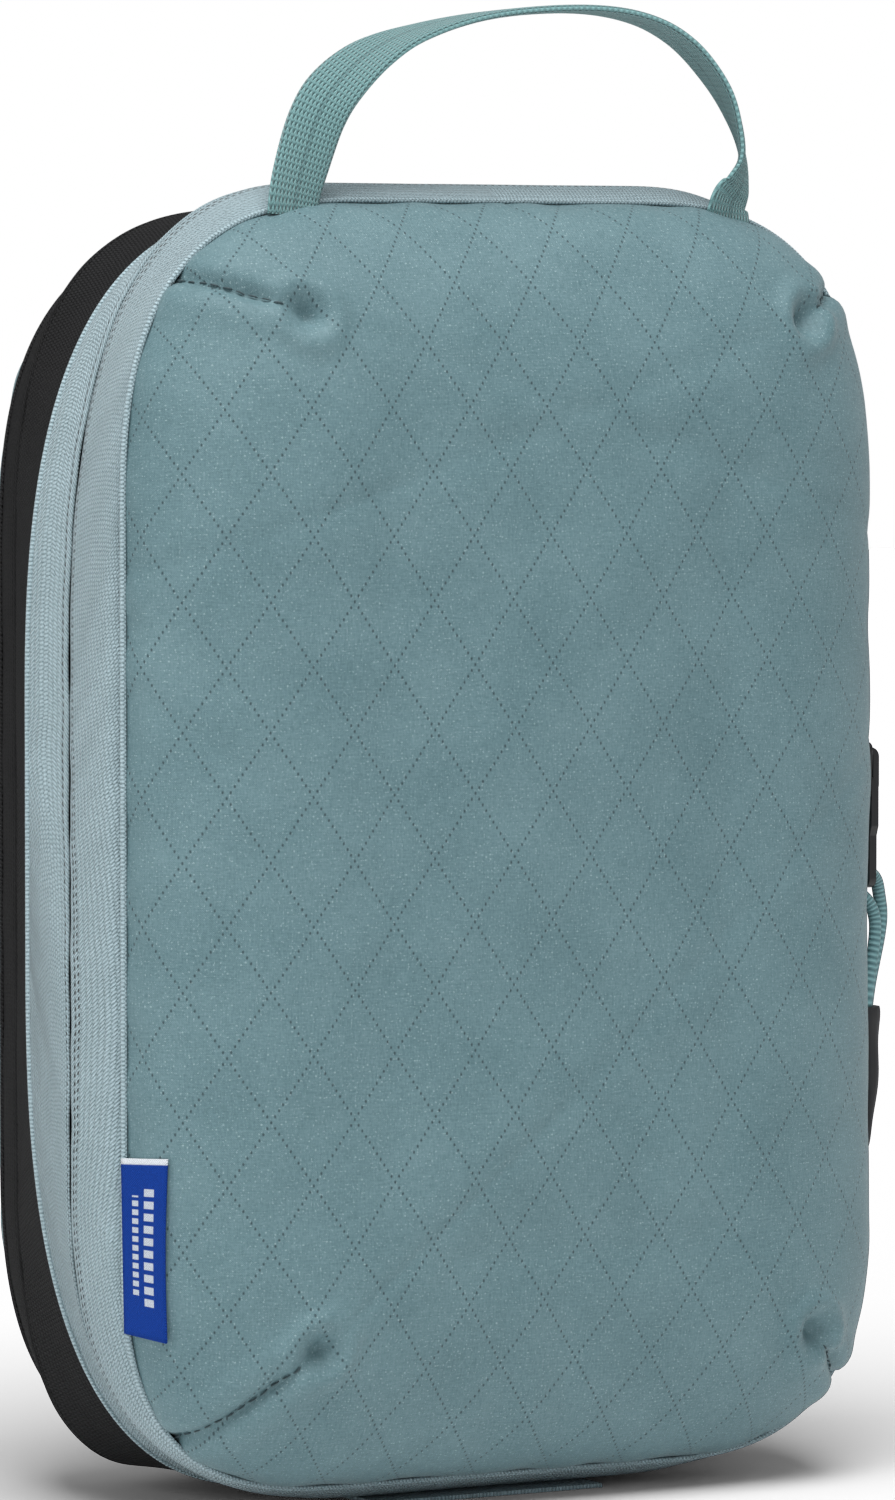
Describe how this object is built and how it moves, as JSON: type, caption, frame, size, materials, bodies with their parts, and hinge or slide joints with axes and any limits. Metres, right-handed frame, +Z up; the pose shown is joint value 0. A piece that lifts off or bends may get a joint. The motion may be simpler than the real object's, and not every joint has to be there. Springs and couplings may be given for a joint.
{
  "type": "packing cube",
  "caption": "Small compression packing cube with a crowned ripstop front cover hinged at the base, a zip round it, a second compression zip, a webbing handle and corded pulls.",
  "frame": {"origin": "on the underside of the base strip, on the hinge line of the main zip, half-way across the cube", "axes": "+X to the right as seen from the front cover, +Y to the back, +Z up towards the handle"},
  "size_m": [0.1917, 0.1021, 0.2961],
  "materials": {
    "ripstop": "light ripstop nylon with a dotted diamond grid",
    "light_tape": "woven herringbone tape",
    "black_tape": "woven black tape",
    "coil": "nylon coil",
    "binding": "bias binding",
    "gusset": "thin ripstop",
    "webbing": "woven webbing",
    "label": "damask woven tag",
    "slider": "black lacquered die-cast metal",
    "pull_tab": "black lacquered die-cast metal",
    "cord": "ribbed braided cord",
    "grip": "matt moulded rubber"
  },
  "bodies": {
    "middle_band": {"main_zip_tape_rear": "light_tape", "main_zip_coil_rear": "coil", "main_zip_stops": "coil", "hinge_strip_rear": "binding", "mid_seam_binding": "binding", "comp_zip_tape_front": "black_tape", "comp_zip_coil_front": "coil", "comp_zip_stops": "coil", "gusset_front": "gusset"},
    "front_cover": {"front_panel": "ripstop", "main_zip_tape_front": "light_tape", "main_zip_coil_front": "coil", "front_seam_binding": "binding", "hinge_strip_front": "binding", "handle_anchors": "webbing", "side_label": "label"},
    "handle": {"handle_webbing": "webbing"},
    "back_shell": {"comp_zip_tape_rear": "black_tape", "comp_zip_coil_rear": "coil", "gusset_rear": "gusset", "back_seam_binding": "binding", "back_panel": "ripstop"},
    "main_slider": {"main_slider_body": "slider", "main_slider_bridge": "slider"},
    "main_pull": {"main_pull_tab": "pull_tab", "main_pull_cord": "cord", "main_pull_grip": "grip"},
    "comp_slider": {"comp_slider_body": "slider", "comp_slider_bridge": "slider"},
    "comp_pull": {"comp_pull_tab": "pull_tab", "comp_pull_cord": "cord", "comp_pull_grip": "grip"}
  },
  "joints": [
    {"name": "cover_hinge", "type": "hinge", "parent": "middle_band", "child": "front_cover", "pos_m": [0, 0, 0], "axis": [1, 0, 0], "range_deg": [0, 170]},
    {"name": "handle_fold", "type": "hinge", "parent": "front_cover", "child": "handle", "pos_m": [0, -0.0143, 0.2575], "axis": [1, 0, 0], "range_deg": [-60, 85]},
    {"name": "back_expand", "type": "slide", "parent": "middle_band", "child": "back_shell", "axis": [0, 1, 0], "range_m": [0, 0.03]},
    {"name": "main_slider_run", "type": "slide", "parent": "middle_band", "child": "main_slider", "axis": [0, 0, 1], "range_m": [-0.055, 0.012]},
    {"name": "main_pull_swing", "type": "hinge", "parent": "main_slider", "child": "main_pull", "pos_m": [0.09369, 0, 0.1399], "axis": [0, -1, 0], "range_deg": [0, 160]},
    {"name": "comp_slider_run", "type": "slide", "parent": "middle_band", "child": "comp_slider", "axis": [0, 0, 1], "range_m": [-0.07, 0.012]},
    {"name": "comp_pull_swing", "type": "hinge", "parent": "comp_slider", "child": "comp_pull", "pos_m": [0.08811, 0.0346, 0.1629], "axis": [0, -1, 0], "range_deg": [0, 160]}
  ]
}
